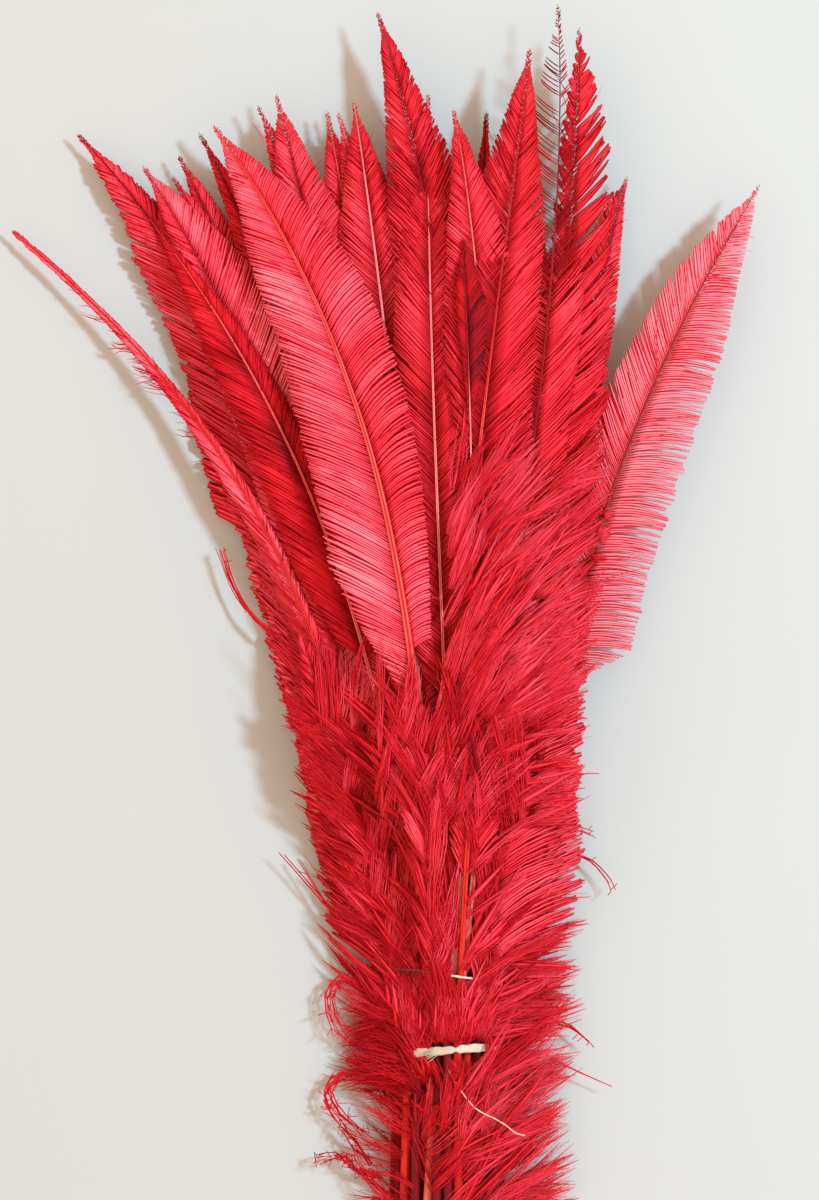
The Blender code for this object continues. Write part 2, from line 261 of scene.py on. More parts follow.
def cotton_finish():
    """Twisted cotton: matt, with darker dirt between the fibres."""
    finish = Finish("cotton", {"Roughness": 0.92, "Sheen Weight": 0.3})
    fibres = finish.noise(1500.0, 3.0)
    dirt = finish.noise(120.0, 2.0)
    share = (fibres * 0.6 + dirt * 0.6) ** 1.6
    finish.shade("Base Color", finish.mixed(share, CLEAN_COTTON, DIRTY_COTTON))
    finish.bump(fibres, 0.6, 0.0004)
    return finish.material


def thread_finish():
    """Thin thread whose stain follows the dye attribute."""
    finish = Finish("stained_thread", {"Roughness": 0.9})
    stained = finish.attribute("dye") + (finish.noise(900.0, 2.0) - 0.5) * 0.3
    finish.shade("Base Color", finish.ramp(stained, THREAD_STAIN))
    finish.bump(finish.noise(1500.0, 2.0), 0.5, 0.0003)
    return finish.material


# ---------------------------------------------------------------- lines and meshes


def smooth(knots, values, at):
    """A smooth curve through the knots, read at these places."""
    slope = np.gradient(values, knots)
    i = np.clip(np.searchsorted(knots, at, side="right") - 1, 0, len(knots) - 2)
    width = knots[i + 1] - knots[i]
    t = (at - knots[i]) / width
    start, end = values[i], values[i + 1]
    return (
        (2 * t**3 - 3 * t**2 + 1) * start
        + (t**3 - 2 * t**2 + t) * width * slope[i]
        + (3 * t**2 - 2 * t**3) * end
        + (t**3 - t**2) * width * slope[i + 1]
    )


def read_off(at, places, rows):
    """The rows' numbers, read between the rows at these places."""
    return np.stack([np.interp(at, places, column) for column in rows.T], -1)


def distances(line):
    """How far along the line each of its points is."""
    return np.concatenate([[0], np.cumsum(np.linalg.norm(np.diff(line, axis=0), axis=1))])


def evened(line):
    """Take the kinks out of the heights of these lines, except at their ends."""
    line[:, 1:-1, 2] = (line[:, :-2, 2] + 2 * line[:, 1:-1, 2] + line[:, 2:, 2]) / 4


def edge_of(side, y):
    """How far out the strands reach on that side of the bunch."""
    return side * np.interp(y, *zip(*(LEFT_EDGE if side < 0 else RIGHT_EDGE)))


def unit(vectors):
    return vectors / np.maximum(np.linalg.norm(vectors, axis=-1, keepdims=True), 1e-12)


class Shaft:
    """The line, thickness and reach of one plume, read from its plain solid."""

    def __init__(self, name):
        look = LOOKS.get(name.removeprefix("feather_"), Look())
        points = np.array([v.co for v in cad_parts[name].data.vertices])
        levels = np.unique(points[:, 1].round(4))
        rows = []
        for y in levels:
            ring = points[np.abs(points[:, 1] - y) < 1e-4]
            x = ring[ring[:, 2].argmax(), 0]
            low, high = ring.min(0), ring.max(0)
            middle, crown = (low[2] + high[2]) / 2, (high[2] - low[2]) / 2
            rows.append((x, middle, crown, x - low[0], high[0] - x))
        x, z, crown, left, right = np.array(rows).T
        self.y = np.arange(levels[0], levels[-1], LINE_STEP)
        bare = np.minimum(left, right) < 1.05 * crown
        radius = np.where(bare, crown, crown / SHAFT_FLATNESS)
        height = np.interp(self.y, levels, z)
        if look.under:
            top, depth = look.under
            height = height - depth * np.interp(
                self.y, [0.10, 0.16, top - 0.07, top], [0.0, 1.0, 1.0, 0.0]
            )
        self.line = np.stack([smooth(levels, x, self.y), self.y, height], 1)
        self.s = distances(self.line)
        self.length = self.s[-1]
        grown = np.clip((self.y - 0.05) / 0.12, 0, 1)
        fine = np.clip((self.length - self.s) / SHAFT_POINT[0], SHAFT_POINT[1], 1)
        self.radius = np.interp(self.y, levels, radius) * (1 + (look.stout - 1) * grown) * fine
        self.tangent = unit(np.gradient(self.line, self.s, axis=0))
        upright = np.abs(self.tangent[:, 1])
        self.reach = {
            -1: np.interp(self.y, levels, left) * upright,
            1: np.interp(self.y, levels, right) * upright,
        }

    def s_at(self, y):
        return np.interp(y, self.y, self.s)

    def width(self, s, side):
        return np.interp(s, self.s, self.reach[side])

    def thickness(self, s):
        return np.interp(s, self.s, self.radius)

    def place(self, s):
        """Points on the shaft's line, and the ways along it and out to its right.

        Past the tip the line runs on straight.
        """
        inside = np.clip(s, 0, self.length)
        along = unit(read_off(inside, self.s, self.tangent))
        point = read_off(inside, self.s, self.line) + along * (s - inside)[..., None]
        return point, along, unit(np.cross(along, UP))


def fibre_rings(line, breadth, roll):
    """Three points round each fibre at each step: one edge, the rib on top and the other edge."""
    way = unit(np.gradient(line, axis=1))
    across = unit(np.cross(way, UP))
    face = np.cross(across, way)
    roll = np.asarray(roll, float).reshape(-1, 1, 1)
    across, face = (
        across * np.cos(roll) + face * np.sin(roll),
        face * np.cos(roll) - across * np.sin(roll),
    )
    half = breadth[..., None] / 2
    edge, ridge, below = across * half, face * half * 0.20, face * half * 0.10
    return np.stack([line - edge - below, line + ridge, line + edge - below], 2)


def fibre_cells(cell, columns, steps):
    """The map corners of each fibre's quads and of its two end caps, in a cell of its own."""
    left, low = (cell % columns) / columns, (cell // columns) / MAP_ROWS
    wide, tall = CELL_WIDE / columns, CELL_TALL / MAP_ROWS
    side, cap = wide / 3, CELL_CAP * tall
    along = CELL_CAP + (1 - 2 * CELL_CAP) * np.arange(steps) / (steps - 1)
    u = left[:, None, None] + wide * np.arange(3) / 3
    v = low[:, None, None] + tall * along[None, :, None]
    u, v = np.broadcast_arrays(u, v)
    ahead, back = v[:, 1:], v[:, :-1]
    near, far = u[:, :-1], u[:, 1:]
    quads = ((near, back), (far, ahead), (far + side, ahead), (near + side, back))
    quads = np.stack([np.stack(corner, -1) for corner in quads], -2).reshape(-1, 2)
    caps = []
    for end, away in ((v[:, 0, 0], -cap), (v[:, -1, 0], cap)):
        corners = ((left, end), (left + wide / 2, end + away), (left + wide, end))
        caps.append(np.stack([np.stack(corner, -1) for corner in corners], 1).reshape(-1, 2))
    return quads, caps


class Pelt:
    """Fibres waiting to be made into one mesh. Each is a thin closed prism with a rib on top."""

    def __init__(self):
        self.batches = []

    def add(self, line, breadth, dye, roll=0.0, rib=1.0):
        """line is fibres × points × 3, breadth and dye are fibres × points. rib is a paleness along
        the middle: partly the rib's own colour, partly a painted highlight.
        """
        if len(line):
            self.batches.append((line, breadth, np.broadcast_to(dye, breadth.shape), roll, rib))

    def arrays(self):
        """Points, quads, triangles, map corners, and the rib and dye of every point."""
        columns = math.ceil(sum(len(batch[0]) for batch in self.batches) / MAP_ROWS)
        points, quads, caps, quad_map, cap_map, ribs, dyes = [], [], [], [], [], [], []
        offset = first = 0
        for line, breadth, dye, roll, rib in self.batches:
            n, m = breadth.shape
            points.append(fibre_rings(line, breadth, roll).reshape(-1, 3))
            index = offset + np.arange(n * m * 3).reshape(n, m, 3)
            turned = np.roll(index, -1, axis=2)
            sides = [index[:, :-1], index[:, 1:], turned[:, 1:], turned[:, :-1]]
            quads.append(np.stack(sides, -1).reshape(-1, 4))
            caps.append(np.concatenate([index[:, 0], index[:, -1, ::-1]]))
            mapped, ends = fibre_cells(first + np.arange(n), columns, m)
            quad_map.append(mapped)
            cap_map += ends
            ribs.append(np.tile([0.0, rib, 0.0], n * m))
            dyes.append(np.repeat(dye.reshape(-1), 3))
            offset += n * m * 3
            first += n
        layout = np.concatenate(quad_map + cap_map) * (1.0, 1 - FIBRES_LOW) + (0.0, FIBRES_LOW)
        points, quads, caps, ribs, dyes = map(np.concatenate, (points, quads, caps, ribs, dyes))
        return points, quads, caps, layout, ribs, dyes


def tube_arrays(line, outline, dye, hollow=True, across=None):
    """A closed tube. outline is rings × sides × (across, up), and dye is rings × sides."""
    rings, sides = outline.shape[:2]
    way = unit(np.gradient(line, axis=0))
    if across is None:
        across = unit(np.cross(way, UP))
    face = np.cross(across, way)
    points = (
        line[:, None]
        + across[:, None] * outline[..., :1]
        + face[:, None] * outline[..., 1:]
    )
    centre = points.mean(1, keepdims=True)
    if hollow:  # the cut quill shows its wall and a short way into its bore
        wall = centre[:1] + (points[:1] - centre[:1]) * BORE
        bore = wall + way[:1, None] * BORE_DEPTH
        points = np.concatenate([bore, wall, points])
        # The bore's ring is darkened as painted shade inside the hollow quill, and the cut wall's
        # ring is paler.
        dye = np.concatenate([dye[:1] * 0.3, dye[:1] + 0.25, dye])
        rings += 2
    index = np.arange(rings * sides).reshape(rings, sides)
    turned = np.roll(index, -1, axis=1)
    quads = np.stack([index[:-1], turned[:-1], turned[1:], index[1:]], -1).reshape(-1, 4)
    ends = np.concatenate([points[:1].mean(1), points[-1:].mean(1)])
    caps = np.concatenate([
        np.stack([np.full(sides, rings * sides + end), *edge], -1)
        for end, edge in enumerate(((turned[0], index[0]), (index[-1], turned[-1])))
    ])
    u = np.arange(sides + 1) / sides
    v = 0.06 + 0.88 * np.arange(rings) / (rings - 1)
    corners = np.stack(np.meshgrid(v, u, indexing="ij")[::-1], -1)
    quad_map = np.stack(
        [corners[:-1, :-1], corners[:-1, 1:], corners[1:, 1:], corners[1:, :-1]], -2
    ).reshape(-1, 2)
    cap_map = []
    for edge, tip, near, far in ((v[0], 0.0, u[1:], u[:-1]), (v[-1], 1.0, u[:-1], u[1:])):
        fan = (((near + far) / 2, tip), (near, edge), (far, edge))
        fan = [np.stack([x, np.full(sides, y)], -1) for x, y in fan]
        cap_map.append(np.stack(fan, 1).reshape(-1, 2))
    strip = np.concatenate([quad_map, *cap_map])[:, ::-1] * (1.0, STRIP_TALL) + (0.0, STRIP_LOW)
    points = np.concatenate([points.reshape(-1, 3), ends])
    dye = np.concatenate([dye.reshape(-1), dye[0, :1], dye[-1, :1]])
    return points, quads, caps, strip, np.zeros(len(points)), dye


def placed(name, data):
    """A new object in the scene."""
    thing = bpy.data.objects.new(name, data)
    bpy.context.scene.collection.objects.link(thing)
    return thing


def made_mesh(name, parts, materials):
    """One object from several sets of arrays, each with its own material."""
    mesh = bpy.data.meshes.new(name)
    points, corners, totals, layout, ribs, dyes, slots = [], [], [], [], [], [], []
    offset = 0
    for number, (co, quads, triangles, mapped, rib, dye) in enumerate(parts):
        points.append(co)
        corners += [quads.ravel() + offset, triangles.ravel() + offset]
        totals += [np.full(len(quads), 4), np.full(len(triangles), 3)]
        slots.append(np.full(len(quads) + len(triangles), number))
        layout.append(mapped)
        ribs.append(rib)
        dyes.append(dye)
        offset += len(co)
    points, corners, totals = map(np.concatenate, (points, corners, totals))
    mesh.vertices.add(len(points))
    mesh.vertices.foreach_set("co", points.ravel())
    mesh.loops.add(len(corners))
    mesh.loops.foreach_set("vertex_index", corners)
    mesh.polygons.add(len(totals))
    mesh.polygons.foreach_set("loop_start", np.cumsum(totals) - totals)
    mesh.polygons.foreach_set("material_index", np.concatenate(slots))
    mesh.polygons.foreach_set("use_smooth", np.ones(len(totals), bool))
    mesh.uv_layers.new(name="OFBake").uv.foreach_set("vector", np.concatenate(layout).ravel())
    for title, values in (("rib", ribs), ("dye", dyes)):
        attribute = mesh.attributes.new(title, "FLOAT", "POINT")
        attribute.data.foreach_set("value", np.concatenate(values))
    mesh.update(calc_edges=True)
    for material in materials:
        mesh.materials.append(material)
    return placed(name, mesh)


# ---------------------------------------------------------------- plumes


@dataclass
class Look:
    """How one plume's barbs grow and how its dye took, part of the difference between its two
    vanes' dyes being painted sheen.

    Pairs are for the left and the right vane, except where the note beside them says otherwise.
    """

    # Where a plume's two vanes differ in dye, that is partly painted sheen: the vane that catches
    # the key light is given the paler dye.
    dye: tuple = (BRIGHT, BRIGHT)
    shaft: float = 0.62
    shaft_low: float = None  # the shaft's dye at the vane's low end
    spacing: float = 0.0014
    breadth: float = 0.0018
    angle: tuple = (50, 30)  # from the shaft, in degrees, at the vane's low end and at its tip
    angle_right: tuple = None  # where the right vane differs
    bow: tuple = (10, 16)  # how far a barb turns away from the shaft along its length
    fray: float = 0.18
    tip_bare: float = 0.04  # the share of the vane whose barbs are separate and hair-like
    vane_low: tuple = (0.10, 0.10)
    stout: float = 0.62  # the shaft's width next to the plain solid's
    point: float = 0.085  # how far from the tip the vane begins to narrow to a point
    width: tuple = (1.0, 1.0)  # next to the plain solid's
    ease: tuple = (0.03, 0.03)  # the length over which the vane widens from its low end
    start: float = 0.55  # its width there
    rib: float = 1.0  # how pale the barbs' middles are, partly their own colour and partly a painted highlight
    wisps: int = 14  # loose hairs on each side
    inside: bool = True  # kept within the bunch's outline low down
    under: tuple = None  # below this place it passes under its neighbours, this much lower
    quill: float = 0.16  # the dye of the bare quill
    droop: tuple = (0.0, 0.0)  # how far the low barbs' ends sink towards the surface
    thin: tuple = (1.0, 1.0)  # breadth at a barb's end as a share of its middle
    dark_tip: float = 0.20
    tufts: int = 21
    fringe: int = 0  # short tufts along the left of the shaft higher up
    steps: int = 3  # pieces along a barb

    def angles(self, side):
        return self.angle_right if side > 0 and self.angle_right else self.angle


LOOKS = {
    "left_broad": Look(
        dye=(0.52, 0.38), shaft=0.12, angle=(38, 26), fray=0.8, bow=(2, 4), breadth=0.0022,
        vane_low=(0.0, 0.10), droop=(0.6, 0), under=(0.48, 0.006),
    ),
    "left_tall": Look(dye=(0.42, 0.46), shaft=0.25, angle=(44, 28), fray=0.6),
    "left_dark": Look(dye=(0.34, 0.34), shaft=0.15, angle=(44, 26)),
    "mid_left_low": Look(dye=(0.46, 0.44), shaft=0.85, angle=(48, 34)),
    "mid_left_pink": Look(dye=(0.44, 0.46), shaft=0.88, angle=(50, 36), stout=0.7),
    "mid_left_sparse": Look(dye=(0.44, 0.46), shaft=0.15, angle=(48, 36)),
    "mid_right_dark": Look(dye=(0.30, 0.30), shaft=0.10, angle=(32, 20)),
    "right_short": Look(dye=(0.42, 0.46), shaft=0.30, angle=(46, 28)),
    # Its pale dye is partly painted light: it stands in for light passing through its thin barbs
    # over the white floor.
    "far_right": Look(
        dye=(0.73, 0.82), shaft=0.34, shaft_low=0.62, angle=(50, 34), angle_right=(64, 48),
        bow=(-4, 27), fray=0.7, thin=(0.80, 0.74), spacing=0.0015, breadth=0.0020,
        vane_low=(0.16, 0.214), droop=(0, 0.5), steps=5, stout=0.7, point=0.045,
        inside=False, ease=(0.03, 0.01),
    ),
    "left_second": Look(
        dye=(0.42, 0.48), shaft=0.58, angle=(38, 28), vane_low=(0.0, 0.10), droop=(0.6, 0),
        fray=0.8, quill=0.55,
    ),
    "left_pink": Look(
        dye=(0.50, 0.66), shaft=0.35, angle=(46, 30), angle_right=(56, 36), bow=(0, 0),
        fray=0.08, breadth=0.0021,
    ),
    "mid_left_tall": Look(
        dye=(0.48, 0.50), shaft=0.30, angle=(48, 34), bow=(4, 24), steps=4,
    ),
    "mid_pale_shaft": Look(
        dye=(0.44, 0.43), shaft=1.0, angle=(52, 36), bow=(4, 8), stout=0.8,
    ),
    "centre_tallest": Look(
        dye=(0.38, 0.35), shaft=0.26, angle=(46, 28), bow=(2, 8), point=0.11,
        under=(0.545, 0.006),
    ),
    "centre_pale_shaft": Look(
        dye=(0.36, 0.40), shaft=0.86, shaft_low=0.80, angle=(46, 34), bow=(0, 6),
        vane_low=(0.20, 0.20), point=0.11,
    ),
    "right_hairy": Look(
        dye=(0.45, 0.42), shaft=0.24, tip_bare=0.36, angle=(66, 62), angle_right=(44, 38),
        bow=(-44, -10), stout=0.6, steps=5, width=(1.7, 0.9), dark_tip=0.04, point=0.13,
        under=(0.40, 0.005),
    ),
    "right_frayed": Look(
        dye=(0.36, 0.36), shaft=0.38, shaft_low=0.6, fray=2.2, tip_bare=0.05, angle=(50, 36),
        bow=(-4, -10), point=0.045, steps=4, width=(0.48, 1.0), stout=0.7,
        under=(0.375, 0.007),
    ),
    "right_lower": Look(
        dye=(0.46, 0.53), shaft=0.5, angle=(36, 36), bow=(0, 30), fray=0.7, stout=0.4,
        vane_low=(0.12, 0.015), droop=(0, 0.5), steps=4,
    ),
    "far_left_sickle": Look(
        dye=(0.60, 0.55), shaft=0.50, angle=(24, 10), bow=(3, 1), fray=0.5, tip_bare=0.02,
        breadth=0.0016, vane_low=(0.0, 0.12), droop=(0.7, 0), stout=0.8,
        dark_tip=0.0, point=0.36, fringe=110,
    ),
    "left_lower": Look(
        dye=(0.40, 0.36), shaft=0.3, angle=(20, 14), fray=1.2, stout=0.4, quill=0.86,
    ),
    "left_front": Look(
        dye=(0.38, 0.36), shaft=0.72, shaft_low=0.86, angle=(36, 30), bow=(2, 4), fray=0.25,
        vane_low=(0.22, 0.22), stout=0.72, rib=0.8, width=(1.0, 0.62),
    ),
    "centre_matt": Look(
        dye=(0.32, 0.32), shaft=0.30, shaft_low=1.0, angle=(32, 24), fray=0.0,
        vane_low=(0.355, 0.355), point=0.05, under=(0.365, 0.006), rib=0.0, breadth=0.0026,
        dark_tip=0.0, wisps=0, stout=0.45, width=(1.6, 1.2), ease=(0.06, 0.06), start=0.1,
    ),
    "mid_right_pink": Look(
        dye=(0.44, 0.47), shaft=0.85, angle=(46, 32), bow=(4, 6), vane_low=(0.24, 0.24),
        point=0.11, under=(0.455, 0.008),
    ),
    "right_tall": Look(
        dye=(0.33, 0.37), shaft=0.42, shaft_low=0.66, angle=(44, 30), bow=(0, -2),
        vane_low=(0.335, 0.14), point=0.10, stout=0.75, quill=0.55, under=(0.355, 0.006),
    ),
    "right_low_front": Look(
        dye=(0.46, 0.54), shaft=0.5, angle=(38, 38), bow=(0, 34), fray=0.7, stout=0.4,
        vane_low=(0.10, 0.005), droop=(0, 0.4), steps=4,
    ),
    # The paler dye of its left vane is partly painted sheen where its barbs catch the light.
    "front_left": Look(
        dye=(0.67, 0.54), shaft=0.68, angle=(52, 32), angle_right=(50, 36), bow=(4, 40),
        fray=0.14, vane_low=(0.200, 0.225), stout=1.4, steps=5, point=0.07,
        thin=(1.0, 1.25), ease=(0.05, 0.17), start=0.3, wisps=8,
    ),
    "centre_low_left": Look(
        dye=(0.46, 0.42), shaft=0.45, angle=(18, 14), fray=1.2, stout=0.5,
    ),
    "centre_low_right": Look(
        dye=(0.40, 0.46), shaft=0.55, angle=(24, 34), fray=1.2, stout=0.9, quill=0.4,
    ),
}


@dataclass
class Growth:
    """Loose tufts on the lower shafts of one side of the bunch.

    The angles are for the middle of the bunch and for its outside. Other pairs are ranges to draw
    from. over is the share of tufts that lie on top of the bunch; the rest stay at their own
    shaft's height.
    """

    side: int
    span: tuple  # along the shaft
    share: float  # of the plume's tufts
    crowd: float  # how far they crowd to the outside
    over: float
    angle: tuple
    size: tuple
    curl: float = 0.0  # 0 is straight and smooth, 1 is downy
    strands: tuple = (7, 13)
    inner: float = -1.0  # no tufts on shafts nearer the middle than this
    tone: float = 0.0  # brighter than the plume's vane by this


GROWTH = (
    Growth(-1, (-0.088, -0.028), 0.14, 0.95, 0.4, (30, 70), (0.022, 0.048), 1.0, (7, 13)),
    Growth(-1, (-0.026, 0.022), 0.42, 0.95, 0.7, (20, 88), (0.030, 0.054), 1.0, (10, 17)),
    Growth(-1, (-0.014, 0.002), 0.24, 0.0, 1.0, (14, 44), (0.016, 0.030), 0.5, (8, 13)),
    Growth(-1, (0.007, 0.026), 0.30, 0.0, 0.9, (6, 30), (0.018, 0.036), 0.3, (9, 13), tone=0.06),
    Growth(-1, (0.020, 0.185), 0.92, 0.25, 0.7, (12, 40), (0.026, 0.056), 0.25, (9, 14), tone=0.06),
    Growth(1, (-0.094, -0.010), 0.46, 0.97, 0.75, (40, 68), (0.040, 0.078), 0.7, (10, 17)),
    Growth(1, (-0.048, -0.004), 0.12, 0.0, 0.9, (8, 40), (0.020, 0.042), 0.6, (9, 15)),
    Growth(1, (0.007, 0.024), 0.40, 0.0, 0.9, (4, 36), (0.016, 0.032), 0.3, (9, 13), tone=0.10),
    Growth(1, (-0.010, 0.060), 0.40, 0.80, 0.75, (30, 78), (0.036, 0.072), 0.4, (10, 16)),
    Growth(1, (0.046, 0.190), 0.78, 0.10, 0.6, (18, 68), (0.028, 0.058), 0.2, (9, 14), tone=0.06),
    Growth(
        1, (0.180, 0.318), 1.24, 0.0, 0.95, (24, 48), (0.030, 0.056), 0.3, (10, 15),
        inner=-0.003, tone=0.09,
    ),
)
FRINGE = Growth(
    -1, (0.220, 0.410), 1.0, 0.0, 0.0, (30, 30), (0.014, 0.025), 0.3, (2, 5), tone=0.1
)

# Odd strands that stand clear of the bunch: their plume, how many fibres, how downy, their route.
STRAYS = (
    ("left_second", 3, 0.15, ((-0.048, 0.060), (-0.062, 0.076), (-0.093, 0.111))),
    ("left_second", 2, 0.15, ((-0.046, 0.056), (-0.060, 0.071), (-0.083, 0.108))),
    ("left_broad", 8, 0.3, ((-0.096, 0.232), (-0.110, 0.245), (-0.120, 0.262), (-0.126, 0.280))),
    ("right_lower", 1, 0.1, ((0.060, 0.155), (0.072, 0.156), (0.084, 0.156))),
    ("right_lower", 3, 0.2, ((0.060, 0.112), (0.078, 0.108), (0.088, 0.098), (0.092, 0.090))),
    ("right_lower", 3, 0.3, ((0.055, 0.120), (0.070, 0.124), (0.082, 0.121))),
    ("right_low_front", 2, 0.1, ((0.052, 0.000), (0.070, -0.010), (0.092, -0.020))),
    ("right_low_front", 3, 0.2, ((0.055, 0.018), (0.068, 0.014), (0.080, 0.004))),
    ("left_broad", 7, 1.0, (
        (-0.046, 0.034), (-0.060, 0.040), (-0.066, 0.030), (-0.061, 0.012), (-0.052, 0.004),
    )),
    ("left_broad", 7, 1.0, (
        (-0.040, -0.014), (-0.058, -0.012), (-0.067, -0.022), (-0.060, -0.036), (-0.046, -0.048),
    )),
    ("left_second", 7, 0.9, (
        (-0.036, -0.070), (-0.050, -0.066), (-0.058, -0.058), (-0.069, -0.060),
    )),
    ("left_second", 4, 0.5, ((-0.042, -0.062), (-0.050, -0.052), (-0.058, -0.040))),
    ("left_second", 5, 0.4, (
        (-0.046, -0.020), (-0.030, -0.028), (-0.010, -0.027), (0.000, -0.028),
    )),
    ("left_second", 5, 0.5, ((-0.020, -0.026), (-0.008, -0.036), (0.004, -0.043))),
)

# Where the tie, the thread and a shaft show between the tufts: low and high x, low and high y.
KEPT_CLEAR = (
    (-0.009, 0.021, -0.0006, 0.0068), (0.002, 0.014, 0.0425, 0.0470),
    (0.0065, 0.0100, 0.056, 0.130),
)


def waves(rng, s, size, length):
    """A smooth wandering number along a line."""
    total = np.zeros_like(s)
    for share in (1.0, 0.5, 0.27):
        total += share * np.sin(2 * math.pi * s / (length * share) + rng.uniform(0, 6.3))
    return total * size / 1.5


def clumps(rng, count, fray):
    """Neighbouring barbs that stick together: each one's clump, and how far it is pulled in."""
    sizes = rng.integers(2, 8, count + 1)
    clump = np.repeat(np.arange(count + 1), sizes)[:count]
    pull = rng.uniform(0, 0.5, count + 1) * fray
    return clump, pull[clump]


def swept(shaft, s, side, first, last, reach, steps, shift=None):
    """Curves that leave the shaft at angle first and end at angle last, reach away from it."""
    t = np.linspace(0, 1, steps + 1)
    angle = first[:, None] + (last - first)[:, None] * t
    across, along = (
        np.pad(np.cumsum(rate[:, 1:] + rate[:, :-1], 1) * (t[1] - t[0]) * 0.5, ((0, 0), (1, 0)))
        for rate in (np.sin(angle), np.cos(angle))
    )
    scale = (reach / across[:, -1])[:, None]
    across, along = across * scale, along * scale
    if shift is not None:
        along = along + shift[:, None] * t**1.6
    root = shaft.thickness(s) * 0.75
    point, _, out = shaft.place(s[:, None] + along)
    return point + out * (side * (across + root[:, None]))[..., None], t


def vane(pelt, shaft, look, side, rng):
    """One side's barbs, from the vane's low end to the tip."""
    which = int(side > 0)
    bare_from = 1 - look.tip_bare
    low = shaft.s_at(look.vane_low[which])
    length = shaft.length - low
    s = np.arange(low, shaft.length - 0.002, look.spacing)
    s = s + rng.uniform(-0.25, 0.25, len(s)) * look.spacing
    share = np.maximum(s - low, 0) / length
    near_tip = np.clip(1 - (shaft.length - s) / TIP_LENGTH, 0, 1)
    hairy_tip = look.tip_bare > HAIRY_TIP
    keep = rng.random(len(s)) > 0.4 * ((share > bare_from) & hairy_tip)
    s, share, near_tip = s[keep], share[keep], near_tip[keep]
    count = len(s)
    clump, pull = clumps(rng, count, look.fray)
    turn = rng.normal(0, 1, count + 1)[clump]
    angle = look.angles(side)
    first = angle[0] + (angle[1] - angle[0]) * share**1.5
    first = first + waves(rng, s, 3, 0.11) + turn * 1.4 * look.fray + rng.normal(0, 0.6, count)
    bow = look.bow[which] * (1 - 0.7 * share**3)
    last = np.clip(first + bow + rng.normal(0, 2, count), 8, 128)
    first, last = np.radians(first), np.radians(last)
    # A barb is cut where the trimmed outline crosses it, which is nearer the tip than its root.
    lean = 1 / np.tan((first + last) / 2)
    reach = shaft.width(s, side)
    for _ in range(4):
        end = np.minimum(s + np.maximum(reach * lean, 0), shaft.length)
        narrow = np.clip((shaft.length - end) / look.point, 0, 1) ** 0.5
        reach = shaft.width(end, side) * narrow * look.width[which]
    reach = reach * np.interp(s - low, [0, look.ease[which]], [look.start, 1])
    ragged = 1 - 0.10 * look.fray * rng.random(count + 1)[clump] - 0.05 * rng.random(count)
    hairy = np.clip((share - bare_from) / 0.06, 0, 1)
    ragged = ragged * (1 - 0.25 * hairy) * (1 - 0.30 * near_tip * rng.random(count))
    reach = np.maximum(reach * ragged, 0.0009 + 0.0007 * rng.random(count))
    to_tip = shaft.length + 0.002 - s
    reach = np.minimum(reach, to_tip * TIP_SLOPE / (1 + TIP_SLOPE * np.maximum(lean, 0.2)))
    middle = np.bincount(clump, s, count + 1)[clump] / np.maximum(np.bincount(clump)[clump], 1)
    line, t = swept(shaft, s, side, first, last, reach, look.steps, (middle - s) * pull)
    root, end = line[:, :1], line[:, -1]
    room = edge_of(side, end[:, 1]) - side * root[:, 0, 0]
    past = side * (end[:, 0] - root[:, 0, 0])
    loose = rng.uniform(0.84, 1.05, count + 1)[clump] * rng.uniform(0.95, 1.03, count)
    fits = np.minimum(loose * np.maximum(room, 0.004) / np.maximum(past, 1e-4), 1)
    fits = np.where((end[:, 1] < CUT_SHORT_BELOW) & look.inside, fits, 1)
    line = root + (line - root) * fits[:, None, None]
    rise = rng.normal(0, 0.0003, count + 1)[clump] + rng.normal(0, 0.00012, count)
    sag = np.minimum(reach, 0.04) ** 2 * 0.5
    sunk = look.droop[which] * np.interp(line[:, 0, 1], [0.15, 0.30], [1.0, 0.0])
    sag = sag + sunk * line[:, 0, 2]
    line[..., 2] += rise[:, None] * t - sag[:, None] * t**2
    line[..., 2] = np.maximum(line[..., 2], LOWEST)
    slim = np.minimum(1 - (0.62 if hairy_tip else 0.4) * hairy, 1 - 0.74 * near_tip)
    breadth = look.breadth * slim * rng.uniform(0.85, 1.1, count)
    thin = look.thin[which]
    profile = np.interp(t, [0, 0.14, 0.8, 1], [0.38, 1.0, thin, 0.30 + 0.55 * (thin - 0.5)])
    tone = (
        look.dye[which]
        + waves(rng, s, 0.07, 0.16)
        + rng.normal(0, 0.03, count + 1)[clump]
        + rng.normal(0, 0.035, count)
        - look.dark_tip * hairy
    )
    fade = tone[:, None] + np.interp(t, [0, 0.25, 0.8, 1], [-0.12, 0, 0.03, 0.0])
    single = (hairy > 0.5) & hairy_tip
    breadth = breadth[:, None] * profile
    pelt.add(line[~single], breadth[~single], fade[~single], roll=side * 0.16, rib=look.rib)
    pelt.add(line[single], breadth[single], fade[single] - 0.05, rib=0.2)


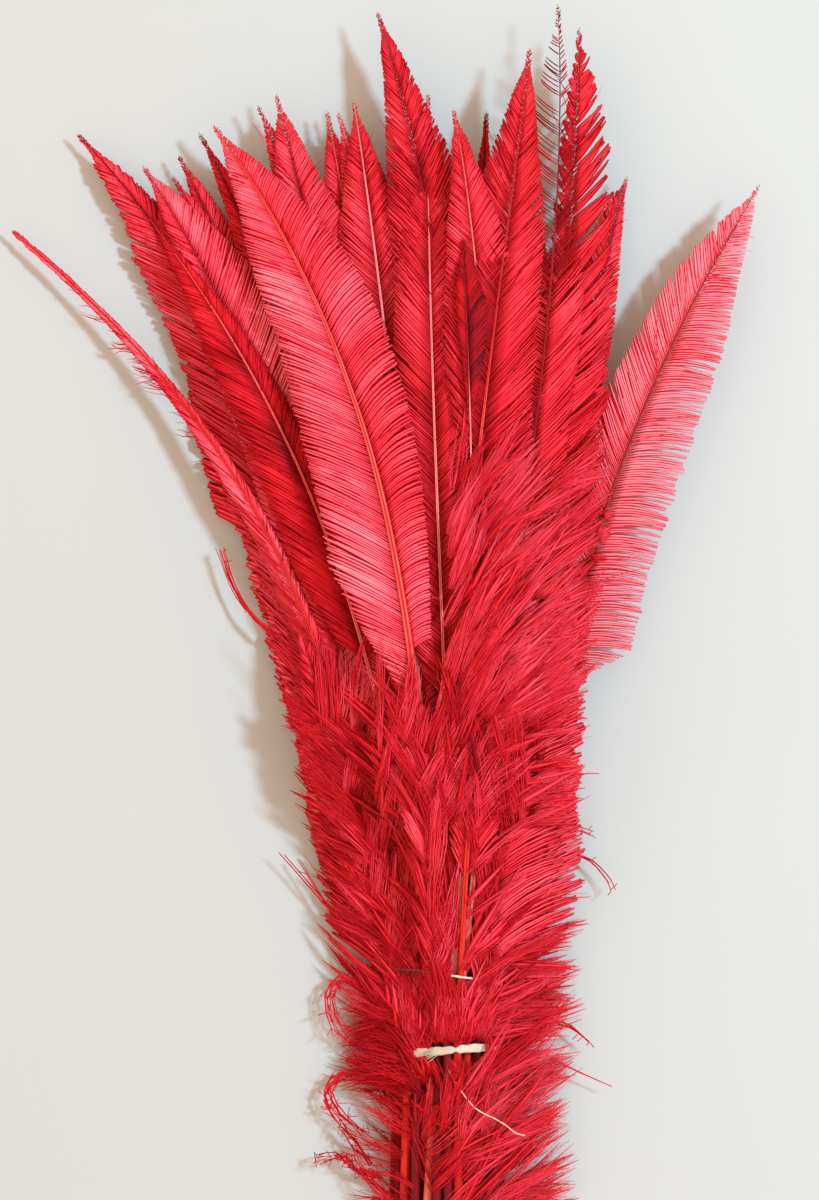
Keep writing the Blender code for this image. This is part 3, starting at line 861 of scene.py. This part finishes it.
def wisps(pelt, shaft, look, side, rng, count):
    """Fine loose hairs that stray over the vane."""
    which = int(side > 0)
    low = shaft.s_at(look.vane_low[which])
    s = rng.uniform(low, low + (shaft.length - low) * 0.93, count)
    share = (s - low) / (shaft.length - low)
    angle = look.angles(side)
    first = angle[0] + (angle[1] - angle[0]) * share + rng.normal(0, 7, count)
    last = first + look.bow[which] + rng.normal(0, 14, count)
    first, last = np.radians(np.clip(first, 22, 110)), np.radians(np.clip(last, 22, 130))
    reach = shaft.width(s, side) * rng.uniform(0.45, 0.92, count)
    line, t = swept(shaft, s, side, first, last, np.maximum(reach, 0.003), look.steps)
    line[..., 2] += 0.0007 + rng.uniform(0, 0.0012, count)[:, None] * np.sin(math.pi * t * 0.9)
    breadth = rng.uniform(*HAIR_BREADTH, count)[:, None] * np.interp(
        t, [0, 0.3, 1], [0.8, 1.0, 0.35]
    )
    tone = look.dye[which] + rng.normal(0.02, 0.09, count)
    pelt.add(line, breadth, tone[:, None], rib=0.5)


class Mound:
    """The height of the bunch's quills and low vanes, which the loose strands lie over."""

    step = 0.0015

    def __init__(self, shafts):
        self.x = np.arange(-0.16, 0.16, self.step)
        self.y = np.arange(-0.13, 0.36, self.step)
        top = np.zeros((len(self.y), len(self.x)))
        for shaft in shafts:
            inside = (shaft.line[:, 1] > self.y[0]) & (shaft.line[:, 1] < self.y[-1])
            rows = zip(shaft.s[inside], shaft.line[inside], shaft.radius[inside])
            for s, (x, y, z), radius in list(rows)[::2]:
                row = top[round((y - self.y[0]) / self.step)]
                covered = np.abs(self.x - x) < radius + self.step
                row[covered] = np.maximum(row[covered], z + radius)
                if y > VANES_COUNT_FROM:
                    left, right = x - shaft.width(s, -1), x + shaft.width(s, 1)
                    covered = (self.x > left) & (self.x < right)
                    row[covered] = np.maximum(row[covered], z)
        for _ in range(2):
            top = np.maximum.reduce([np.roll(top, d, axis) for d in (-1, 0, 1) for axis in (0, 1)])
        for _ in range(3):
            top = sum(np.roll(top, d, axis) for d in (-1, 0, 1) for axis in (0, 1)) / 6
        self.top = top

    def height(self, x, y):
        i = np.clip(((y - self.y[0]) / self.step).astype(int), 0, len(self.y) - 1)
        j = np.clip(((x - self.x[0]) / self.step).astype(int), 0, len(self.x) - 1)
        return self.top[i, j]


def tufts(pelt, shaft, growth, rng, plenty, tone):
    """Loose tufts and down on the lower shaft: strands that run together towards a point."""
    side = growth.side
    outer = np.clip(side * shaft.line[np.searchsorted(shaft.y, 0.0), 0] / 0.03, 0, 1)
    share = growth.share / 2 * (1 - growth.crowd + growth.crowd * (0.2 + 3.4 * outer**2))
    y = rng.uniform(*growth.span, round(plenty * share))
    x = shaft.place(shaft.s_at(y))[0][:, 0]
    kept = side * x > growth.inner
    x, y = x[kept], y[kept]
    count = len(y)
    if count == 0:
        return
    s = shaft.s_at(y)
    spread = np.clip(side * x / 0.03, 0, 1)
    inner, wide = growth.angle
    angle = inner + (wide - inner) * spread + rng.normal(0, 4 + 8 * growth.curl, count)
    last = angle + rng.normal(2, 5 + 13 * growth.curl, count)
    angle, last = np.radians(np.clip(angle, 8, 125)), np.radians(np.clip(last, 8, 140))
    size = rng.uniform(*growth.size, count)
    edge = edge_of(side, y + size * 0.5)
    room = np.maximum(edge - side * x, 0.006) * rng.uniform(0.82, 1.04, count)
    room = np.where(y < TUFTS_CUT_SHORT_BELOW, room, size)
    reach = np.minimum(size * np.sin((angle + last) / 2), room)
    steps = 4
    spine, t = swept(shaft, s, side, angle, last, reach, steps)
    # Each tuft's strands part in its middle and meet again at its point.
    each = np.repeat(np.arange(count), rng.integers(*growth.strands, count))
    n = len(each)
    spine, spread = spine[each], spread[each, None]
    shorter = rng.uniform(0.66, 1.0, n)
    at = np.clip(t[None] * shorter[:, None] * steps, 0, steps - 0.001)
    low = at.astype(int)
    rows = np.arange(n)[:, None]
    line = spine[rows, low] + (spine[rows, low + 1] - spine[rows, low]) * (at - low)[..., None]
    way = unit(np.gradient(line, axis=1))
    beside = unit(np.cross(way, UP))
    away = rng.uniform(-1, 1, n) * rng.uniform(0.0012, 0.0044, count)[each]
    belly = 0.6 + 0.5 * np.sin(math.pi * t) - 0.25 * t**2 + 0.8 * growth.curl * t
    line = line + beside * (away[:, None] * belly)[..., None]
    phase, speed = rng.uniform(0, 6.3, (2, n, 1)), rng.uniform(3, 8, (n, 1))
    curl = rng.uniform(0.0001, 0.0012, (n, 1)) * (0.8 + 2.6 * growth.curl)
    for axis in (0, 1):
        line[..., axis] += curl * t * np.sin(phase[axis] + speed * t)
    on_top = (rng.random(count) < growth.over)[each, None]
    mound = MOUND.height(line[..., 0], line[..., 1])
    own = line[..., 2] * (1 - 0.45 * t * spread)
    line[..., 2] = np.where(on_top, np.maximum(mound, own), own)
    evened(line)
    lift = rng.uniform(0.0002, 0.0026, (count, 1))[each] + rng.uniform(0, 0.0012, (n, 1))
    line[..., 2] += lift * np.sin(math.pi * (0.06 + 0.80 * t))
    line[..., 2] = np.maximum(line[..., 2], LOWEST)
    breadth = rng.uniform(*HAIR_BREADTH, (n, 1)) * (1 - 0.3 * growth.curl) * np.interp(
        t, [0, 0.2, 0.7, 1], [0.6, 1.0, 0.8, 0.22]
    )
    dye = tone + rng.normal(0, 0.07, count)[each] + rng.normal(0, 0.05, n)
    dye = np.minimum(dye + growth.tone + TUFT_DYE_SHIFT[side], TUFT_DYE_END)
    # A flat ribbon under each tuft closes the gaps between its strands.
    first = np.unique(each, return_index=True)[1][: count if growth.over else 0]
    bed = spine[first].copy()
    bed[..., 2] = np.maximum(line[first, :, 2] - 0.0008, LOWEST)
    wide = rng.uniform(0.0024, 0.0042, (len(first), 1)) * (1 - 0.6 * growth.curl)
    wide = wide * np.interp(t, [0, 0.25, 0.6, 1], [0.4, 1.0, 0.7, 0.1])
    line, breadth = np.concatenate([line, bed]), np.concatenate([breadth, wide])
    dye = np.concatenate([dye, dye[first]])
    rolled = np.concatenate([rng.normal(0, 0.2, n), np.zeros(len(first))])
    clear = np.ones(len(line), bool)
    px, py = (
        np.concatenate([a[:, :-1] * (1 - f) + a[:, 1:] * f for f in (0, 0.25, 0.5, 0.75)], 1)
        for a in (line[..., 0], line[..., 1])
    )
    for low_x, high_x, low_y, high_y in KEPT_CLEAR:
        over_it = (px > low_x) & (px < high_x) & (py > low_y) & (py < high_y)
        clear &= ~over_it.any(1)
    pelt.add(
        line[clear], breadth[clear], (dye[:, None] + 0.08 * t)[clear], rolled[clear], 0.66
    )


def strays(pelt, name, rng, tone):
    """The odd strands of this plume, each a wisp of fibres along a route given from above."""
    for owner, count, downy, route in STRAYS:
        if name != "feather_" + owner:
            continue
        t = np.linspace(0, 1, 9)
        knots = np.linspace(0, 1, len(route))
        x, y = (smooth(knots, np.array(values), t) for values in zip(*route))
        spread = 0.0004 + 0.0016 * downy
        phase, speed = rng.uniform(0, 6.3, (2, count, 1)), rng.uniform(6, 14, (count, 1))
        curl = downy * 0.0009
        x, y = (
            at + rng.normal(0, spread, (count, 1)) * (0.5 + t) + curl * np.sin(turn + speed * t)
            for at, turn in zip((x, y), phase)
        )
        z = np.maximum(MOUND.height(x, y), 0.010) + rng.uniform(0.0004, 0.002, (count, 1))
        line = np.stack([x, y, z], -1)
        for _ in range(3):
            evened(line)
        breadth = rng.uniform(0.0006, 0.0013, (count, 1)) * np.interp(t, [0, 0.2, 1], [0.7, 1, 0.4])
        pelt.add(line, breadth, tone + rng.normal(0.04, 0.08, (count, 1)), rib=0.6)
        n = round(90 * downy**2)
        if n:
            start = line[rng.integers(0, count, n), rng.integers(1, 9, n)]
            turn = rng.uniform(0, 6.3, n)
            way = np.stack([np.cos(turn), np.sin(turn), rng.uniform(-0.2, 0.5, n)], 1)
            far = rng.uniform(0.002, 0.006, n)[:, None, None] * np.linspace(0, 1, 4)[:, None]
            fuzz = start[:, None] + way[:, None] * far
            fuzz[..., 2] = np.maximum(fuzz[..., 2], 0.001)
            pelt.add(fuzz, np.full((n, 4), 0.00045), tone + rng.normal(0.06, 0.1, (n, 1)), rib=0.4)


def shaft_part(shaft, look, step):
    """The shaft: a round quill that turns into a flatter rachis with a groove along its top."""
    s = np.append(np.arange(0, shaft.length, step), shaft.length)
    line = shaft.place(s)[0]
    radius = shaft.thickness(s)
    grown = np.clip((line[:, 1] - 0.05) / 0.06, 0, 1)
    flat = 1 - (1 - SHAFT_FLATNESS) * grown
    angle = math.pi / 2 + np.arange(SHAFT_SIDES) * 2 * math.pi / SHAFT_SIDES
    groove = np.zeros(SHAFT_SIDES)
    groove[0] = 1.0
    ridge_highlight = np.zeros(SHAFT_SIDES)
    ridge_highlight[[1, -1]] = 1.0
    across = radius[:, None] * np.cos(angle)
    height = radius[:, None] * np.sin(angle) * flat[:, None]
    height = height - groove * (radius * 0.34 * grown)[:, None]
    vane_low = shaft.s_at(max(look.vane_low))
    share = np.clip((s - vane_low) / (shaft.length - vane_low), 0, 1)
    low = look.shaft if look.shaft_low is None else look.shaft_low
    body = low + (look.shaft - low) * np.clip(share / 0.35, 0, 1)
    body = body - 0.16 * np.clip((share - 0.72) / 0.28, 0, 1)
    body = look.quill + (body - look.quill) * np.clip((line[:, 1] - 0.02) / 0.03, 0, 1)
    # The groove's darker dye is painted shade, and the two ridges beside it get painted highlights.
    dye = body[:, None] + (ridge_highlight * 0.17 - groove * 0.32) * grown[:, None]
    # The underside of the shaft is darkened as painted shade.
    dye = dye - 0.22 * (np.sin(angle) < 0.2)[None] * grown[:, None]
    return tube_arrays(line, np.stack([across, height], -1), dye)


def plume(name, number):
    shaft = SHAFTS[name]
    hidden = name.startswith("feather_under_")
    if hidden:
        look = Look(
            dye=(HIDDEN_DYES[number % 3],) * 2, shaft=HIDDEN_SHAFT_DYES[number % 3],
            spacing=0.0030, breadth=0.0044, tufts=8, fray=0.4,
        )
    else:
        look = LOOKS[name.removeprefix("feather_")]
    rng = np.random.default_rng(1000 + number)
    pelt = Pelt()
    for side in (-1, 1):
        vane(pelt, shaft, look, side, rng)
        if not hidden:
            wisps(pelt, shaft, look, side, rng, look.wisps)
    tufts(pelt, shaft, FRINGE, rng, look.fringe, look.dye[0] + 0.1)
    for growth in GROWTH:
        tone = min(look.dye[growth.side > 0], TUFT_DYE_MOST)
        tufts(pelt, shaft, growth, rng, look.tufts, tone)
    strays(pelt, name, rng, look.dye[0])
    thing = made_mesh(
        name.replace("feather_", "plume_"),
        [pelt.arrays(), shaft_part(shaft, look, HIDDEN_RING if hidden else SHAFT_RING)],
        [BARBS, SHAFT],
    )
    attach(thing, "root")
    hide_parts(name)


# ---------------------------------------------------------------- stage


def camera():
    data = bpy.data.cameras.new("camera")
    data.sensor_fit = "AUTO"
    data.lens = data.sensor_width * VIEW_FROM / VIEW_TALL
    data.clip_end = 20
    thing = placed("camera", data)
    thing.location = (*VIEW_CENTRE, VIEW_FROM)
    bpy.context.scene.camera = thing


def key_lamp():
    data = bpy.data.lights.new("key", "AREA")
    data.size, data.energy, data.color = KEY_SIZE, KEY_POWER, KEY_COLOUR
    thing = placed("key", data)
    thing.location = KEY_PLACE
    aim = Vector((*VIEW_CENTRE, 0.0)) - Vector(KEY_PLACE)
    thing.rotation_euler = aim.to_track_quat("-Z", "Y").to_euler()


def stage():
    """Soft light from all round, one lamp, and a pale floor just below the bunch."""
    scene = bpy.context.scene
    scene.view_settings.view_transform = "Standard"
    world = bpy.data.worlds.new("studio")
    world.use_nodes = True
    sky = world.node_tree.nodes["Background"]
    sky.inputs["Color"].default_value = SKY_COLOUR
    sky.inputs["Strength"].default_value = SKY_STRENGTH
    scene.world = world
    key_lamp()
    mesh = bpy.data.meshes.new("floor")
    corners = [(x * FLOOR_REACH, y * FLOOR_REACH, FLOOR_HEIGHT)
               for x, y in ((-1, -1), (1, -1), (1, 1), (-1, 1))]
    mesh.from_pydata(corners, [], [(0, 1, 2, 3)])
    floor = placed("floor", mesh)
    finish = Finish("pale_floor", {"Roughness": 0.8})
    dark, light = ((grey, grey, grey, 1) for grey in FLOOR_GREYS)
    finish.shade("Base Color", finish.mixed(finish.noise(6.0), dark, light))
    mesh.materials.append(finish.material)


# ---------------------------------------------------------------- the tie


TIE_HALF_WIDTH, TIE_HALF_THICKNESS, TIE_SLANT = 0.0023, 0.0007, 0.10
PINCH_AT, PINCH_REACH, PINCH_DEPTH = 0.0045, 0.0016, 0.58
FRAYED_AT, FRAYED_FIBRES = -0.009, 26
THREAD_RADIUS, THREAD_SLANT = 0.0005, -0.16
THREAD_BARE = (0.002, 0.014)  # between these places on top the thread is unstained


def smooth_route(points, steps):
    """A smooth curve through the points."""
    ends = [2 * points[0] - points[1], *points, 2 * points[-1] - points[-2]]
    route = []
    for a, b, c, d in zip(ends, ends[1:], ends[2:], ends[3:]):
        for t in np.arange(steps) / steps:
            bend = (2 * a - 5 * b + 4 * c - d) * t**2 + (3 * b - a - 3 * c + d) * t**3
            route.append(b + 0.5 * ((c - a) * t + bend))
    return np.array([*route, points[-1]])


def hull(points):
    """The corners that wrap these points, in order."""
    points = sorted(map(tuple, points))
    sides = []
    for run in (points, points[::-1]):
        kept = []
        for x, z in run:
            while len(kept) > 1:
                (x0, z0), (x1, z1) = kept[-2:]
                if (x1 - x0) * (z - z0) > (z1 - z0) * (x - x0):
                    break
                kept.pop()
            kept.append((x, z))
        sides += kept[:-1]
    return np.array(sides)


def wound(node, radius, tilt, count):
    """A closed route round the bunch, inside the outline of the plain band, and its distances."""
    points = np.array([v.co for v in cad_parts[node].data.vertices])
    corners = hull(points[:, [0, 2]].round(6))
    corners = np.concatenate([corners, corners[:1]])
    s = distances(corners)
    at = np.linspace(0, s[-1], count)
    route = read_off(at, s, corners)
    inward = unit(route.mean(0) - route) * radius
    x, z = (route + inward).T
    z = np.maximum(z, radius + 0.0002)
    raised = z / z.max()
    y = points[:, 1].mean() + raised * (0.0035 + tilt * x)
    return np.stack([x, y, z], 1), at


def tie():
    """The cotton tie: a flattened band of two loosely twisted plies, frayed where its end shows."""
    route, at = wound("tie_band", TIE_HALF_THICKNESS, TIE_SLANT, 220)
    rng = np.random.default_rng(3)
    sides = 12
    angle = np.arange(sides) * 2 * math.pi / sides
    pinch = 1 - PINCH_DEPTH * np.exp(-(((route[:, 0] - PINCH_AT) / PINCH_REACH) ** 2))
    half = TIE_HALF_WIDTH * pinch * (1 + 0.07 * np.sin(at * 500))
    thick = TIE_HALF_THICKNESS * (1 + 0.10 * np.sin(at * 700))
    ply = 1 + 0.06 * np.cos(3 * (angle[None] - at[:, None] * 260))
    outline = np.stack(
        [half[:, None] * np.cos(angle) * ply, thick[:, None] * np.sin(angle) * ply], -1
    )
    dye = np.full(outline.shape[:2], 0.8)
    band = tube_arrays(route, outline, dye, hollow=False, across=np.array([[0.0, 1.0, 0.0]]))
    ends = Pelt()
    top = route[(np.abs(route[:, 0] - FRAYED_AT) < 0.004) & (route[:, 2] > 0.02)].mean(0)
    count = FRAYED_FIBRES
    t = np.linspace(0, 1, 5)
    out = rng.uniform(0.003, 0.008, (count, 1)) * t
    lines = np.stack(
        [
            top[0] + 0.003 - out,
            top[1] + rng.normal(0, 0.0011, (count, 1)) * (0.6 + t) - 0.2 * out,
            top[2] + 0.0008 + rng.uniform(0, 0.0006, (count, 1)) * np.sin(3 * t),
        ],
        -1,
    )
    ends.add(lines, np.full((count, 5), 0.0004), 0.8)
    thing = made_mesh("cotton_tie", [ends.arrays(), band], [COTTON, COTTON])
    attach(thing, "root")
    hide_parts("tie_band")


def thread():
    """The thin thread above the tie: stained, and bare cotton where it crosses the top."""
    route, at = wound("upper_thread", THREAD_RADIUS, THREAD_SLANT, 200)
    angle = np.arange(8) * math.pi / 4
    radius = THREAD_RADIUS * (1 + 0.16 * np.cos(2 * (angle[None] - at[:, None] * 700)))
    x, z = route[:, 0], route[:, 2]
    pale = (x > THREAD_BARE[0]) & (x < THREAD_BARE[1]) & (z > 0.02)
    radius = radius * np.where(pale, 1.3, 1.0)[:, None]
    outline = np.stack([radius * np.cos(angle), radius * np.sin(angle)], -1)
    dye = np.where(pale, 0.85, 0.05)[:, None] + 0.05 * np.cos(angle)
    across = np.array([[0.0, 1.0, 0.0]])
    thing = made_mesh(
        "thin_thread", [tube_arrays(route, outline, dye, hollow=False, across=across)], [THREAD]
    )
    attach(thing, "root")
    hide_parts("upper_thread")


def loose_end():
    """The tie's loose end, over the quills."""
    route = smooth_route([np.array(point) for point in TAIL_ROUTE], TAIL_STEPS)
    angle = np.arange(8) * math.pi / 4
    twist = np.arange(len(route))[:, None] * 1.1
    radius = TAIL_RADIUS * (0.86 + 0.14 * np.cos(2 * (angle[None] - twist)))
    outline = np.stack([radius * np.cos(angle), radius * np.sin(angle)], -1)
    dye = np.full(radius.shape, 0.5)
    thing = made_mesh("loose_end", [tube_arrays(route, outline, dye, hollow=False)], [COTTON])
    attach(thing, "root")
    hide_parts("thread_tail")


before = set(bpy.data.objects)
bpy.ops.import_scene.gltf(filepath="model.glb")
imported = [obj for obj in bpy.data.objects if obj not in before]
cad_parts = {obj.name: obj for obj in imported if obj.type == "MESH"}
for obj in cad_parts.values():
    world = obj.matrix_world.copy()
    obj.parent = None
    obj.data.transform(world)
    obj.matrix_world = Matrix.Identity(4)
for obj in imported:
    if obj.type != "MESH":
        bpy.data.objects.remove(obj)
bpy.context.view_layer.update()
camera()
THREAD = thread_finish()
COTTON = cotton_finish()
loose_end()
tie()
thread()
stage()
BARBS = barb_finish()
SHAFT = shaft_finish()
PLUMES = sorted(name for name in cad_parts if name.startswith("feather_"))
SHAFTS = {name: Shaft(name) for name in PLUMES}
MOUND = Mound(SHAFTS.values())
for number, name in enumerate(PLUMES):
    plume(name, number)
